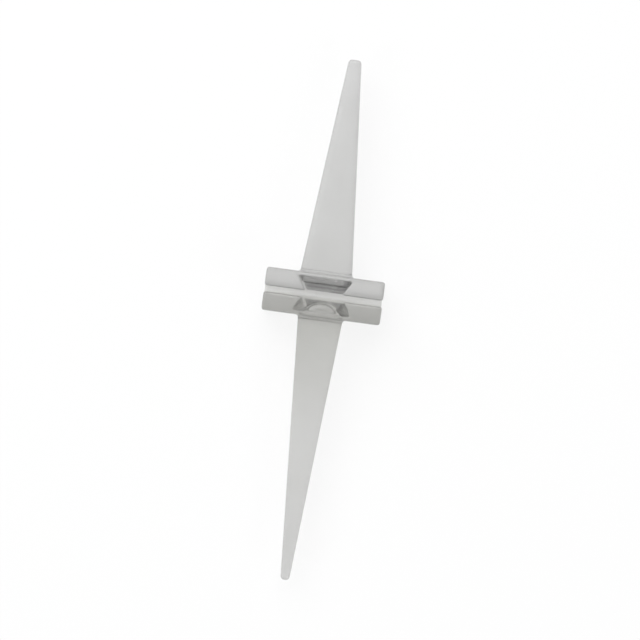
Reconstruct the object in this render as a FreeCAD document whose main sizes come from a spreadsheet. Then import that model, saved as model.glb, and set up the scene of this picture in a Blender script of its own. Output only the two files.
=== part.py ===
# Finger joint implant: a one-piece silicone spacer with a flexible hinge, for the knuckle of an index finger.
#
# Frame: +X across the finger, +Y to the fingertip, +Z to the back of the hand. The origin is the middle of
# the hinge on its palm side face, which the implant rests on. Lengths are in millimetres.
#
# Each half is a tapered stem that stands out of a hinge block. Both halves are drawn with their stem along
# +Y, and the proximal one is then turned half a turn about Z. The thin web between the blocks is the hinge.

import FreeCAD, Part
import Sketcher
import os

SIZES = {
    # hinge blocks
    "hinge_width": 14.8,
    "hinge_length": 5.4,
    "hinge_height": 7.6,
    "barrel_drop": 0.6,
    "block_round": 0.3,
    # slot across the back of the hinge, and the web under it
    "slot_width": 0.8,
    "web_thickness": 1.2,
    "web_root_thickness": 1.4,
    # hollow in the middle of each block, from the slot to a collar at the foot of the stem
    "hollow_floor": 1.9,
    "collar_thickness": 0.5,
    "distal_hollow_slot_width": 4.6,
    "distal_hollow_collar_width": 6.8,
    "ramp_drop": 1.3,
    "proximal_hollow_slot_width": 5.2,
    "proximal_hollow_collar_width": 7.6,
    "proximal_hollow_collar_floor_width": 3.2,
    # round nose that stands in the proximal hollow
    "nose_radius": 2.6,
    "nose_gap": 0.45,
    "nose_drop": 1.75,
    "nose_round": 0.7,
    # stems
    "stem_axis_height": 3.6,
    "stem_round": 0.45,
    "stem_root_round": 0.35,
    "distal_stem_length": 27.0,
    "distal_base_width": 6.5,
    "distal_base_depth": 4.8,
    "distal_tip_width": 1.6,
    "distal_tip_depth": 1.6,
    "proximal_stem_length": 33.0,
    "proximal_base_width": 5.6,
    "proximal_base_depth": 4.6,
    "proximal_tip_width": 1.1,
    "proximal_tip_depth": 1.3,
}

# the points of a sketch's edge, and the sketch's own origin and axes, as the sketcher numbers them
START, END, CENTRE = 1, 2, 3
ORIGIN, LEVEL, UPRIGHT = -1, -1, -2

# where a hollow begins, at the slot, and ends, at the collar
HOLLOW_ENDS = "sizes.slot_width / 2", "sizes.hinge_length / 2 - sizes.collar_thickness"

# how near to a face an edge has to be to lie in it
TOUCH = 1e-4

HALF_TURN = 180


def make_sheet(doc):
    sheet = doc.addObject("Spreadsheet::Sheet", "sizes")
    for row, (alias, value) in enumerate(SIZES.items(), start=1):
        sheet.set(f"A{row}", alias)
        sheet.set(f"B{row}", str(value))
        sheet.setAlias(f"B{row}", alias)
    doc.recompute()
    return sheet


def new_body(doc, label):
    body = doc.addObject("PartDesign::Body", label)
    body.Label = label
    return body


def new_sketch(body, name, plane, offset="0"):
    """A sketch on one of the body's own planes, or in front of it by an expression."""
    sketch = body.newObject("Sketcher::SketchObject", f"{body.Label}_{name}")
    support = next(o for o in body.Origin.OriginFeatures if o.Role == plane)
    sketch.AttachmentSupport = (support, "")
    sketch.MapMode = "FlatFace"
    sketch.setExpression("AttachmentOffset.Base.z", offset)
    return sketch


def add_lines(sketch, corners):
    """Straight edges along a rough outline, which the dimensions then pull to size."""
    places = [FreeCAD.Vector(across, up, 0) for across, up in corners]
    return [sketch.addGeometry(Part.LineSegment(a, b)) for a, b in zip(places, places[1:])]


def add_arc(sketch, first, middle, last):
    places = [FreeCAD.Vector(across, up, 0) for across, up in (first, middle, last)]
    return sketch.addGeometry(Part.Arc(*places))


def fix(sketch, kind, *places):
    sketch.addConstraint(Sketcher.Constraint(kind, *places))


def bind(sketch, kind, places, expression):
    """A dimension whose value follows the sheet."""
    value = float(sketch.evalExpression(expression))
    index = sketch.addConstraint(Sketcher.Constraint(kind, *places, value))
    sketch.setExpression(f"Constraints[{index}]", expression)


def join_ends(sketch, edges):
    for edge, following in zip(edges, edges[1:] + edges[:1]):
        fix(sketch, "Coincident", edge, END, following, START)


def add_feature(body, kind, name, **settings):
    feature = body.newObject(f"PartDesign::{kind}", f"{body.Label}_{name}")
    for prop, value in settings.items():
        setattr(feature, prop, value)
    return feature


def add_fillet(body, name, base, edge_names, radius):
    fillet = add_feature(body, "Fillet", name, Base=(base, edge_names))
    fillet.setExpression("Radius", radius)
    body.Document.recompute()
    return fillet


def edges_where(feature, wanted):
    """Names of the feature's edges whose bounding box answers the question."""
    edges = feature.Shape.Edges
    return [f"Edge{n}" for n, edge in enumerate(edges, start=1) if wanted(edge.BoundBox)]


# A trapezoid astride the sketch's upright axis. Its measures are expressions.
def add_trapezoid(sketch, low_width, high_width, low, height):
    bottom, right, top, left = add_lines(sketch, [(-1, 1), (1, 1), (1, 2), (-1, 2), (-1, 1)])
    join_ends(sketch, [bottom, right, top, left])
    fix(sketch, "Symmetric", bottom, START, bottom, END, UPRIGHT)
    fix(sketch, "Symmetric", top, START, top, END, UPRIGHT)
    bind(sketch, "DistanceX", (bottom, START, bottom, END), low_width)
    bind(sketch, "DistanceX", (top, END, top, START), high_width)
    bind(sketch, "DistanceY", (ORIGIN, START, bottom, START), low)
    bind(sketch, "DistanceY", (right, START, right, END), height)


# Hinge block: its side view, with the barrel-shaped back that crests at the slot, carried across the finger.
def add_block(body):
    sketch = new_sketch(body, "side_view", "YZ_Plane")
    palm, shoulder = add_lines(sketch, [(1, 0), (3, 0), (3, 6)])
    barrel = add_arc(sketch, (3, 6), (2, 7), (1, 7))
    (wall,) = add_lines(sketch, [(1, 7), (1, 0)])
    join_ends(sketch, [palm, shoulder, barrel, wall])
    fix(sketch, "Horizontal", palm)
    fix(sketch, "Vertical", shoulder)
    fix(sketch, "Vertical", wall)
    fix(sketch, "PointOnObject", barrel, CENTRE, wall)
    fix(sketch, "PointOnObject", palm, START, ORIGIN)
    bind(sketch, "DistanceX", (ORIGIN, START, palm, START), "sizes.slot_width / 2")
    bind(sketch, "DistanceX", (ORIGIN, START, palm, END), "sizes.hinge_length / 2")
    bind(sketch, "DistanceY", (shoulder, START, shoulder, END), "sizes.hinge_height - sizes.barrel_drop")
    bind(sketch, "DistanceY", (wall, END, wall, START), "sizes.hinge_height")
    block = add_feature(body, "Pad", "block", Profile=sketch, Midplane=True)
    block.setExpression("Length", "sizes.hinge_width")
    body.Document.recompute()
    return block


# Every edge of the block is round, but for those beside and below the slot, which run on into the web.
def round_block(body, block):
    wall = SIZES["slot_width"] / 2
    crest = SIZES["hinge_height"]

    def clear_of_the_web(box):
        return box.YMax > wall + TOUCH or box.ZMin > crest - TOUCH

    return add_fillet(body, "block_rounds", block, edges_where(block, clear_of_the_web), "sizes.block_round")


# The distal hollow widens away from the slot, and a ramp with a scooped face climbs in it to the collar.
def add_distal_hollow(body):
    begin, end = HOLLOW_ENDS
    outline = new_sketch(body, "hollow_outline", "XY_Plane", "sizes.hinge_height")
    widths = "sizes.distal_hollow_slot_width", "sizes.distal_hollow_collar_width"
    add_trapezoid(outline, *widths, begin, f"{end} - {begin}")
    hollow = add_feature(body, "Pocket", "hollow", Profile=outline)
    hollow.setExpression("Length", "sizes.hinge_height - sizes.hollow_floor")
    body.Document.recompute()

    side_view = new_sketch(body, "ramp_side_view", "YZ_Plane")
    floor, collar = add_lines(side_view, [(1, 2), (2, 2), (2, 6)])
    scoop = add_arc(side_view, (1, 2), (1.7, 4), (2, 6))
    fix(side_view, "Coincident", floor, END, collar, START)
    fix(side_view, "Coincident", collar, END, scoop, END)
    fix(side_view, "Coincident", scoop, START, floor, START)
    fix(side_view, "Horizontal", floor)
    fix(side_view, "Vertical", collar)
    fix(side_view, "Horizontal", scoop, CENTRE, collar, END)
    bind(side_view, "DistanceX", (ORIGIN, START, floor, START), begin)
    bind(side_view, "DistanceX", (ORIGIN, START, floor, END), end)
    bind(side_view, "DistanceY", (ORIGIN, START, floor, START), "sizes.hollow_floor")
    bind(side_view, "DistanceY", (ORIGIN, START, collar, END), "sizes.hinge_height - sizes.ramp_drop")
    ramp = add_feature(body, "Pad", "ramp", Profile=side_view, Midplane=True)
    ramp.setExpression("Length", "sizes.distal_hollow_collar_width")
    body.Document.recompute()
    return ramp


# The proximal hollow also widens away from the slot, but its floor is level and narrows, so its sides lean.
def add_proximal_hollow(body):
    begin, end = HOLLOW_ENDS
    slot_end = new_sketch(body, "hollow_slot_end", "XZ_Plane", f"-({begin})")
    collar_end = new_sketch(body, "hollow_collar_end", "XZ_Plane", f"-({end})")
    at_slot = "sizes.proximal_hollow_slot_width"
    at_collar = "sizes.proximal_hollow_collar_floor_width", "sizes.proximal_hollow_collar_width"
    upright = "sizes.hollow_floor", "sizes.hinge_height - sizes.hollow_floor"
    add_trapezoid(slot_end, at_slot, at_slot, *upright)
    add_trapezoid(collar_end, *at_collar, *upright)
    hollow = add_feature(body, "SubtractiveLoft", "hollow", Profile=slot_end, Sections=[collar_end])
    body.Document.recompute()
    return hollow


# A sketch whose origin is the root of the stem, on its axis.
def stem_sketch(body, view, plane):
    sketch = new_sketch(body, f"stem_{view}", plane)
    along, up = ("x", "y") if plane == "YZ_Plane" else ("y", "z")
    sketch.setExpression(f"AttachmentOffset.Base.{along}", "sizes.hinge_length / 2")
    sketch.setExpression(f"AttachmentOffset.Base.{up}", "sizes.stem_axis_height")
    return sketch


# Stem: its side view is carried across the finger, and then trimmed to its taper as seen from the back.
def add_stem(body):
    side = body.Label.split("_")[0]
    length = f"sizes.{side}_stem_length"
    outline = stem_sketch(body, "side_view", "YZ_Plane")
    root, low, tip, high = add_lines(outline, [(0, 2), (0, -2), (9, -1), (9, 1), (0, 2)])
    join_ends(outline, [root, low, tip, high])
    fix(outline, "PointOnObject", root, START, UPRIGHT)
    fix(outline, "Symmetric", root, START, root, END, LEVEL)
    fix(outline, "Symmetric", tip, START, tip, END, LEVEL)
    bind(outline, "DistanceY", (root, END, root, START), f"sizes.{side}_base_depth")
    bind(outline, "DistanceY", (tip, START, tip, END), f"sizes.{side}_tip_depth")
    bind(outline, "DistanceX", (root, END, tip, START), length)
    stem = add_feature(body, "Pad", "stem", Profile=outline, Midplane=True)
    stem.setExpression("Length", f"sizes.{side}_base_width")
    return trim_stem(body, side, length)


# Two wedges come off the stem, one from each side, and leave the tip's width between them.
def trim_stem(body, side, length):
    trims = stem_sketch(body, "back_view", "XY_Plane")
    for way in (-1, 1):
        outside, end, taper = add_lines(trims, [(way * 3, 0), (way * 3, 9), (way, 9), (way * 3, 0)])
        join_ends(trims, [outside, end, taper])
        fix(trims, "Vertical", outside)
        fix(trims, "Horizontal", end)
        fix(trims, "PointOnObject", outside, START, LEVEL)
        bind(trims, "DistanceX", (ORIGIN, START, outside, START), f"{way} * sizes.{side}_base_width / 2")
        bind(trims, "DistanceX", (ORIGIN, START, end, END), f"{way} * sizes.{side}_tip_width / 2")
        bind(trims, "DistanceY", (outside, START, outside, END), length)
    cut = add_feature(body, "Pocket", "stem_taper", Profile=trims, Midplane=True)
    cut.setExpression("Length", f"2 * sizes.{side}_base_depth")
    body.Document.recompute()
    return cut


def round_stem(body, stem):
    shoulder = SIZES["hinge_length"] / 2
    side = body.Label.split("_")[0]
    half_width = SIZES[f"{side}_base_width"] / 2
    half_depth = SIZES[f"{side}_base_depth"] / 2
    middle = SIZES["stem_axis_height"]

    def beyond_the_shoulder(box):
        return box.YMax > shoulder + TOUCH

    def round_the_root(box):
        flat = abs(box.YMin - shoulder) < TOUCH and abs(box.YMax - shoulder) < TOUCH
        across = max(-box.XMin, box.XMax) < half_width + TOUCH
        high = max(middle - box.ZMin, box.ZMax - middle) < half_depth + TOUCH
        return flat and across and high

    edges = add_fillet(
        body, "stem_rounds", stem, edges_where(stem, beyond_the_shoulder), "sizes.stem_round"
    )
    return add_fillet(
        body, "root_rounds", edges, edges_where(edges, round_the_root), "sizes.stem_root_round"
    )


# Nose: an upright round column with a soft top edge, turned about a line inside the stem, as far as the stem
# is wide.
def add_nose(body):
    wall = "sizes.slot_width / 2 + sizes.nose_gap"
    sketch = new_sketch(body, "nose_side_view", "YZ_Plane")
    sketch.setExpression("AttachmentOffset.Base.x", f"{wall} + sizes.nose_radius")
    top, axis, floor, front = add_lines(sketch, [(-2, 5), (0, 5), (0, 1), (-3, 1), (-3, 4)])
    soft_edge = add_arc(sketch, (-2, 5), (-2.7, 4.7), (-3, 4))
    fix(sketch, "Coincident", top, END, axis, START)
    fix(sketch, "Coincident", axis, END, floor, START)
    fix(sketch, "Coincident", floor, END, front, START)
    fix(sketch, "Tangent", front, END, soft_edge, END)
    fix(sketch, "Tangent", soft_edge, START, top, START)
    fix(sketch, "PointOnObject", axis, START, UPRIGHT)
    fix(sketch, "PointOnObject", axis, END, UPRIGHT)
    fix(sketch, "Horizontal", top)
    fix(sketch, "Horizontal", floor)
    fix(sketch, "Vertical", front)
    bind(sketch, "Radius", (soft_edge,), "sizes.nose_round")
    bind(sketch, "DistanceX", (floor, END, floor, START), "sizes.nose_radius")
    bind(sketch, "DistanceY", (ORIGIN, START, axis, START), "sizes.hinge_height - sizes.nose_drop")
    bind(sketch, "DistanceY", (ORIGIN, START, axis, END), "sizes.web_thickness")
    nose = add_feature(
        body, "Revolution", "nose", Profile=sketch, ReferenceAxis=(sketch, ["V_Axis"]), Midplane=True
    )
    beyond = f"({wall} + sizes.nose_radius - sizes.hinge_length / 2)"
    nose.setExpression("Angle", f"2 * acos({beyond} / sizes.nose_radius)")
    body.Document.recompute()
    return nose


# Web: the thin floor of the slot, with a hollow back and the blocks' round palm side edges. It bends when the
# finger does.
def make_web(doc):
    body = new_body(doc, "hinge_web")
    sketch = new_sketch(body, "side_view", "YZ_Plane")
    palm, distal = add_lines(sketch, [(-1, 0), (1, 0), (1, 2)])
    (proximal,) = add_lines(sketch, [(-1, 2), (-1, 0)])
    back = add_arc(sketch, (-1, 2), (0, 1.5), (1, 2))
    thinnest = sketch.addGeometry(Part.Point(FreeCAD.Vector(0, 1.5, 0)), True)
    fix(sketch, "Coincident", palm, END, distal, START)
    fix(sketch, "Coincident", distal, END, back, END)
    fix(sketch, "Coincident", back, START, proximal, START)
    fix(sketch, "Coincident", proximal, END, palm, START)
    fix(sketch, "Horizontal", palm)
    fix(sketch, "Vertical", distal)
    fix(sketch, "Vertical", proximal)
    fix(sketch, "Symmetric", palm, START, palm, END, ORIGIN, START)
    fix(sketch, "PointOnObject", back, CENTRE, UPRIGHT)
    fix(sketch, "PointOnObject", thinnest, START, UPRIGHT)
    fix(sketch, "PointOnObject", thinnest, START, back)
    bind(sketch, "DistanceX", (palm, START, palm, END), "sizes.slot_width")
    bind(sketch, "DistanceY", (distal, START, distal, END), "sizes.web_root_thickness")
    bind(sketch, "DistanceY", (ORIGIN, START, thinnest, START), "sizes.web_thickness")
    web = add_feature(body, "Pad", "web", Profile=sketch, Midplane=True)
    web.setExpression("Length", "sizes.hinge_width")
    doc.recompute()

    def along_the_palm_side(box):
        return box.ZMax < TOUCH and box.XMax - box.XMin < TOUCH

    add_fillet(body, "palm_rounds", web, edges_where(web, along_the_palm_side), "sizes.block_round")
    return body


def make_half(doc, side, add_its_hollow):
    body = new_body(doc, f"{side}_half")
    block = add_block(body)
    round_block(body, block)
    add_its_hollow(body)
    stem = add_stem(body)
    round_stem(body, stem)
    return body


def make_distal_half(doc):
    return make_half(doc, "distal", add_distal_hollow)


def make_proximal_half(doc):
    body = make_half(doc, "proximal", add_proximal_hollow)
    add_nose(body)
    about_z = FreeCAD.Rotation(FreeCAD.Vector(0, 0, 1), HALF_TURN)
    body.Placement = FreeCAD.Placement(FreeCAD.Vector(), about_z)
    doc.recompute()
    return body


def check(doc, bodies):
    for thing in doc.Objects:
        if "Invalid" in thing.State or "Error" in thing.State:
            raise RuntimeError(f"{thing.Label} failed to build")
    for body in bodies:
        if body.Shape.isNull() or not body.Shape.isValid():
            raise RuntimeError(f"{body.Label} has no valid shape")


def main():
    doc = FreeCAD.newDocument("finger_joint_implant")
    make_sheet(doc)
    bodies = [make_proximal_half(doc), make_web(doc), make_distal_half(doc)]
    doc.recompute()
    check(doc, bodies)
    os.makedirs("parts", exist_ok=True)
    for body in bodies:
        body.Shape.exportStep(f"parts/{body.Label}.step")
        print(body.Label, len(body.Shape.Solids), "solid", round(body.Shape.Volume, 2), "mm3")


main()
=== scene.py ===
"""A finger joint implant that lies on its palm side, seen from straight above.

The implant is one soft moulding, which bends at its web, so the three solids of the model
become one closed skin.
"""

import math

import bmesh
import bpy
from mathutils import Matrix, Vector
from mathutils.bvhtree import BVHTree


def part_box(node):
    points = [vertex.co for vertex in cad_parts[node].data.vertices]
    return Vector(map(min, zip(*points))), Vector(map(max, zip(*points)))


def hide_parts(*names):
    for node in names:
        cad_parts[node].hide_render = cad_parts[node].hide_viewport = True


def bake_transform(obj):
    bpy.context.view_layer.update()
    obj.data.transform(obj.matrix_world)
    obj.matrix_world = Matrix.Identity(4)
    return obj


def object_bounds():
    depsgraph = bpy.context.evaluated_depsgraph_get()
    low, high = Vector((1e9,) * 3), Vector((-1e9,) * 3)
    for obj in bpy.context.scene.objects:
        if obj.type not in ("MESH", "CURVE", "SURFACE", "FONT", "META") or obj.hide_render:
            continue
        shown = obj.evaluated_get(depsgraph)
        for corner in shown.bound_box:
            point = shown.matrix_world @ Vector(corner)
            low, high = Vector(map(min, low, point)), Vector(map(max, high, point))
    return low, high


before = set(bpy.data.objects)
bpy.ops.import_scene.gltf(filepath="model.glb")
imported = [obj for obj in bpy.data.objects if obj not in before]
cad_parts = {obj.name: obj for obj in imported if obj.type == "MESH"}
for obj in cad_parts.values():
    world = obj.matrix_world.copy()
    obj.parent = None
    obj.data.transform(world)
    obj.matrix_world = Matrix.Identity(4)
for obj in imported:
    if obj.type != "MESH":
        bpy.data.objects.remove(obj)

cad_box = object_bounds()
web_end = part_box("hinge_web")[1].y

# All lengths are in metres
MM = 0.001

# Skin: how near to its end a point of the web counts as on it, how far the web's ends go into
# the blocks, and how the voxel mesh is softened
END_MARGIN = 0.02 * MM
WEB_OVERLAP = 0.2 * MM
SKIN_VOXEL = 0.13 * MM
SMOOTH_FACTOR = 0.5
SMOOTH_ROUNDS = 4

# Painted shade of the hollows, set by how enclosed a point is: how far from the hinge's middle
# the enclosure is measured, how far a ray looks, how many rays each point sends, over what
# distance from the slot's walls the painted shade sets in, and how much of it a wall that faces
# right is spared, as those are the lighter ones in the photograph, so that those walls are
# painted lighter as if lit from the right
ENCLOSED_LENGTH = 7 * MM
ENCLOSED_REACH = 8 * MM
ENCLOSED_RAYS = 24
ENCLOSED_FADE = 0.2 * MM
SIDE_LIGHT = 0.85

# Silicone: a fifth of the light scatters at the skin, and the rest goes through
SILICONE = {"IOR": 1.41, "Transmission Weight": 0.8, "Roughness": 0.22}
DEPTH_DIMMING = {"Color": (0.5, 0.5, 0.495, 1), "Density": 225}

# Tones along the implant, from the proximal tip at 0 to the distal tip at 1. The web is at 0.54
# to 0.552. The web's lightest strip is painted light, and the darker proximal half is painted
# shade, as if lit from the distal side; the proximal half is also a little warm, and both ends
# are darker towards the tips.
TONES_AND_PAINTED_LIGHT_ALONG = [
    (0.0, (0.75, 0.75, 0.745)),
    (0.3, (0.9, 0.9, 0.89)),
    (0.5, (0.86, 0.86, 0.83)),
    (0.54, (0.89, 0.89, 0.86)),
    (0.541, (0.99, 0.99, 0.98)),
    (0.551, (0.99, 0.99, 0.98)),
    (0.552, (0.98, 0.98, 0.975)),
    (0.7, (0.94, 0.94, 0.935)),
    (1.0, (0.77, 0.77, 0.77)),
]

# Painted shade of the hollows, darker the more enclosed a point is
PAINTED_SHADE_TONES = [
    (0.4, (1, 1, 1)),
    (0.54, (0.8, 0.8, 0.8)),
    (0.7, (0.8, 0.8, 0.8)),
    (0.77, (0.41, 0.41, 0.41)),
    (0.88, (0.35, 0.35, 0.35)),
    (0.92, (0.2, 0.2, 0.2)),
]

# Faint clouds a few millimetres wide in the silicone, and the fine grain of its satin skin
CLOUDS = {"Scale": 180, "Detail": 3}
TONES_CLOUDS = [(0.3, (0.96, 0.96, 0.955)), (0.7, (1, 1, 1))]
GRAIN = {"Scale": 4000}
GRAIN_BUMP = {"Strength": 0.05, "Distance": 0.02 * MM}

# Floor: just below the implant, because two faces in one plane render wrongly. What looks at it
# sees through most of it near the implant, and through all of it far away, so that no horizon
# shows.
FLOOR_SIZE = 3.0
FLOOR_GAP = 0.02 * MM
FLOOR_PAINT = {"Color": (0.92, 0.92, 0.92, 1)}
FLOOR_CLEARNESS = {"From Min": 0.06, "From Max": 0.4, "To Min": 0.85, "To Max": 1.0}

# World: its strength as light, and as the white that is seen
WORLD_COLOUR = (1, 1, 1, 1)
WORLD_STRENGTH = {"To Min": 0.4, "To Max": 1.0}

# Lamps: name, place, size and watts
LAMPS = [
    ("key", (-0.25, 0.45, 0.62), 0.8, 6.0),
    ("left_rim", (-0.45, -0.3, 0.45), 0.2, 0.5),
    ("right_rim", (0.45, -0.3, 0.45), 0.2, 0.5),
]

# Camera: straight down, turned so that the finger tip leans to the right
LEAN = math.radians(7.75)
CAMERA_LENS = 200
CAMERA_HEIGHT = 0.444
CAMERA_CLIP = (0.01, 100)
VIEW_CENTRE = Vector((0, -3.0 * MM, 3.0 * MM))


def add_web(joined):
    """The web, its two ends pushed into the blocks so that the solids overlap."""
    joined.from_mesh(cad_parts["hinge_web"].data)
    for vertex in joined.verts:
        if abs(vertex.co.y) > web_end - END_MARGIN:
            vertex.co.y += math.copysign(WEB_OVERLAP, vertex.co.y)


def join_solids():
    joined = bmesh.new()
    add_web(joined)
    joined.from_mesh(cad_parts["proximal_half"].data)
    joined.from_mesh(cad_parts["distal_half"].data)
    mesh = bpy.data.meshes.new("joined")
    joined.to_mesh(mesh)
    joined.free()
    return mesh


def make_skin():
    """One closed skin round the joined solids, with every edge softened as a moulding's are.

    It is worked out at a scale of one unit to the millimetre.
    """
    mesh = join_solids()
    mesh.transform(Matrix.Scale(1 / MM, 4))
    skin = bpy.data.objects.new("silicone_moulding", mesh)
    bpy.context.scene.collection.objects.link(skin)
    remesh = skin.modifiers.new("remesh", "REMESH")
    remesh.mode = "VOXEL"
    remesh.voxel_size = SKIN_VOXEL / MM
    remesh.use_smooth_shade = True
    smooth = skin.modifiers.new("smooth", "SMOOTH")
    smooth.factor = SMOOTH_FACTOR
    smooth.iterations = SMOOTH_ROUNDS
    depsgraph = bpy.context.evaluated_depsgraph_get()
    skin.data = bpy.data.meshes.new_from_object(skin.evaluated_get(depsgraph))
    skin.modifiers.clear()
    skin.data.transform(Matrix.Scale(MM, 4))
    return skin


def keep_rest_places(skin):
    """Each point's place at rest, for the textures, so that they don't slide as the web bends."""
    places = skin.data.attributes.new("rest_place", "FLOAT_VECTOR", "POINT")
    for vertex, place in zip(skin.data.vertices, places.data):
        place.vector = vertex.co


def directions(count):
    """Unit vectors spread evenly over a ball."""
    golden_angle = math.pi * (3 - math.sqrt(5))
    for n in range(count):
        up = 1 - (2 * n + 1) / count
        flat = math.sqrt(1 - up * up)
        yield Vector((flat * math.cos(n * golden_angle), flat * math.sin(n * golden_angle), up))


def measure_painted_shade(skin):
    """How much painted shade each point gets: the share of its surroundings that the part fills,
    from 0 on open faces to 1 deep in a hollow, less on walls that face right, which are painted
    lighter as if lit from the right. The slot is left at 0, because its thin floor lets the
    table's light through.
    """
    mesh = skin.data
    tree = BVHTree.FromPolygons([v.co for v in mesh.vertices], [p.vertices for p in mesh.polygons])
    rays = list(directions(ENCLOSED_RAYS))
    painted_shade = mesh.attributes.new("painted_shade", "FLOAT", "POINT")
    for vertex, value in zip(mesh.vertices, painted_shade.data):
        from_slot = abs(vertex.co.y) - web_end
        if from_slot < 0 or abs(vertex.co.y) > ENCLOSED_LENGTH:
            continue
        start = vertex.co + vertex.normal * SKIN_VOXEL / 2
        outward = (ray if ray.dot(vertex.normal) > 0 else -ray for ray in rays)
        hits = sum(tree.ray_cast(start, ray, ENCLOSED_REACH)[0] is not None for ray in outward)
        set_in = min(1, from_slot / ENCLOSED_FADE)
        # Walls that face right get less painted shade, so they are painted lighter as if lit from
        # the right
        in_shade = 1 - SIDE_LIGHT * max(0, vertex.normal.x)
        value.value = hits / ENCLOSED_RAYS * set_in * in_shade


def add_node(tree, kind, inputs=None, **settings):
    """A shader node. Its inputs are plain values, or the outputs that are to be linked to them."""
    node = tree.nodes.new("ShaderNode" + kind)
    for name, setting in settings.items():
        setattr(node, name, setting)
    for name, value in (inputs or {}).items():
        if isinstance(value, bpy.types.NodeSocket):
            tree.links.new(value, node.inputs[name])
        else:
            node.inputs[name].default_value = value
    return node


def add_ramp(tree, value, stops):
    """Tones between stops, each a place from 0 to 1 and a colour."""
    ramp = add_node(tree, "ValToRGB", {"Fac": value})
    elements = ramp.color_ramp.elements
    while len(elements) < len(stops):
        elements.new(0.5)
    for element, (place, colour) in zip(elements, stops):
        element.position = place
        element.color = (*colour, 1)
    return ramp.outputs["Color"]


def tone_and_painted_light_along(tree, place):
    """Lightest at the web, as painted light, and in the distal half; darker, as painted shade,
    and a little warm in the proximal half; darker towards both tips.
    """
    split = add_node(tree, "SeparateXYZ", {"Vector": place})
    ends = {"From Min": cad_box[0].y, "From Max": cad_box[1].y}
    along = add_node(tree, "MapRange", {"Value": split.outputs["Y"], **ends})
    return add_ramp(tree, along.outputs["Result"], TONES_AND_PAINTED_LIGHT_ALONG)


def tone_of_clouds(tree, place):
    clouds = add_node(tree, "TexNoise", {"Vector": place, **CLOUDS})
    return add_ramp(tree, clouds.outputs["Fac"], TONES_CLOUDS)


def painted_shade_of_hollows(tree):
    # Painted shade: the hollows are darkened by how enclosed each point is, as shade would fall
    # there
    painted_shade = add_node(tree, "Attribute", attribute_name="painted_shade")
    return add_ramp(tree, painted_shade.outputs["Fac"], PAINTED_SHADE_TONES)


def silicone():
    """Milky silicone, which dims the light with its depth. Its tones multiply, and they hold
    painted light and shade along the implant and painted shade in the hollows.
    """
    material = bpy.data.materials.new("silicone")
    material.use_nodes = True
    tree = material.node_tree
    shader = tree.nodes["Principled BSDF"]
    for name, value in SILICONE.items():
        shader.inputs[name].default_value = value
    depth = add_node(tree, "VolumeAbsorption", DEPTH_DIMMING)
    tree.links.new(depth.outputs["Volume"], tree.nodes["Material Output"].inputs["Volume"])
    place = add_node(tree, "Attribute", attribute_name="rest_place").outputs["Vector"]

    # Painted light at the web and painted shade in the proximal half, with a little warmth there
    tone = tone_and_painted_light_along(tree, place)
    # The random clouds and the painted shade of the hollows multiply these tones
    for shade in (tone_of_clouds(tree, place), painted_shade_of_hollows(tree)):
        factors = {"Factor": 1, "A": tone, "B": shade}
        mix = add_node(tree, "Mix", factors, data_type="RGBA", blend_type="MULTIPLY")
        tone = mix.outputs["Result"]
    tree.links.new(tone, shader.inputs["Base Color"])

    grain = add_node(tree, "TexNoise", {"Vector": place, **GRAIN})
    bump = add_node(tree, "Bump", {"Height": grain.outputs["Fac"], **GRAIN_BUMP})
    tree.links.new(bump.outputs["Normal"], shader.inputs["Normal"])
    return material


def seen_directly(tree):
    """1 for what the camera sees, also in reflections and through the silicone, and 0 for the
    light that falls on things.
    """
    path = add_node(tree, "LightPath")
    total = path.outputs["Is Camera Ray"]
    for ray in ("Is Glossy Ray", "Is Transmission Ray"):
        both = {0: total, 1: path.outputs[ray]}
        total = add_node(tree, "Math", both, operation="ADD", use_clamp=True).outputs[0]
    return total


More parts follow.
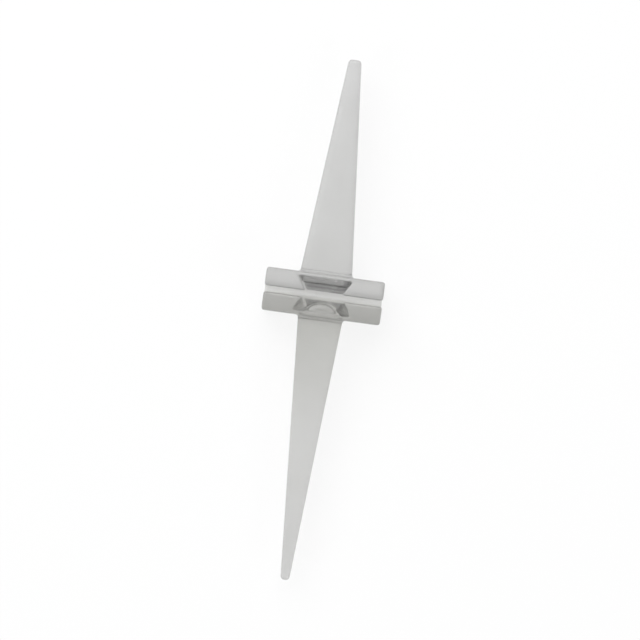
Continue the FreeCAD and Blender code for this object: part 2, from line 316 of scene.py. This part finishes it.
def floor_material():
    """Pale and matte as light falls on it, but mostly clear to what looks at it, so that white
    shows, and so does the half that bends down past it.
    """
    material = bpy.data.materials.new("floor")
    material.use_nodes = True
    tree = material.node_tree
    tree.nodes.remove(tree.nodes["Principled BSDF"])
    matte = add_node(tree, "BsdfDiffuse", FLOOR_PAINT)
    clear = add_node(tree, "BsdfTransparent")
    place = add_node(tree, "NewGeometry").outputs["Position"]
    distance = add_node(tree, "VectorMath", {0: place}, operation="LENGTH").outputs["Value"]
    clearness = add_node(
        tree, "MapRange", {"Value": distance, **FLOOR_CLEARNESS}, interpolation_type="SMOOTHSTEP"
    )
    factors = {0: seen_directly(tree), 1: clearness.outputs["Result"]}
    share = add_node(tree, "Math", factors, operation="MULTIPLY").outputs[0]
    shaders = {1: matte.outputs["BSDF"], 2: clear.outputs["BSDF"]}
    mix = add_node(tree, "MixShader", {"Fac": share, **shaders})
    tree.links.new(mix.outputs["Shader"], tree.nodes["Material Output"].inputs["Surface"])
    return material


def add_floor():
    bpy.ops.mesh.primitive_plane_add(size=FLOOR_SIZE, location=(0, 0, -FLOOR_GAP))
    floor = bpy.context.object
    floor.name = "floor"
    floor.data.materials.append(floor_material())


def light_world():
    world = bpy.data.worlds.new("studio")
    bpy.context.scene.world = world
    world.use_nodes = True
    tree = world.node_tree
    strength = add_node(tree, "MapRange", {"Value": seen_directly(tree), **WORLD_STRENGTH})
    sky = tree.nodes["Background"]
    sky.inputs["Color"].default_value = WORLD_COLOUR
    tree.links.new(strength.outputs["Result"], sky.inputs["Strength"])


def add_lamp(name, place, size, watts):
    data = bpy.data.lights.new(name, "AREA")
    data.energy = watts
    data.size = size
    lamp = bpy.data.objects.new(name, data)
    bpy.context.scene.collection.objects.link(lamp)
    lamp.location = place
    lamp.rotation_euler = (VIEW_CENTRE - Vector(place)).to_track_quat("-Z", "Y").to_euler()


def add_camera():
    data = bpy.data.cameras.new("camera")
    data.lens = CAMERA_LENS
    data.clip_start, data.clip_end = CAMERA_CLIP
    camera = bpy.data.objects.new("camera", data)
    bpy.context.scene.collection.objects.link(camera)
    above = Matrix.Translation(VIEW_CENTRE + Vector((0, 0, CAMERA_HEIGHT)))
    camera.matrix_world = above @ Matrix.Rotation(LEAN, 4, "Z")
    bpy.context.scene.camera = camera


def main():
    skin = make_skin()
    keep_rest_places(skin)
    measure_painted_shade(skin)
    skin.data.materials.clear()
    skin.data.materials.append(silicone())
    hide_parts("proximal_half", "hinge_web", "distal_half")
    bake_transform(skin)
    add_floor()
    light_world()
    for name, place, size, watts in LAMPS:
        add_lamp(name, place, size, watts)
    add_camera()
    bpy.context.scene.view_settings.view_transform = "Standard"


main()
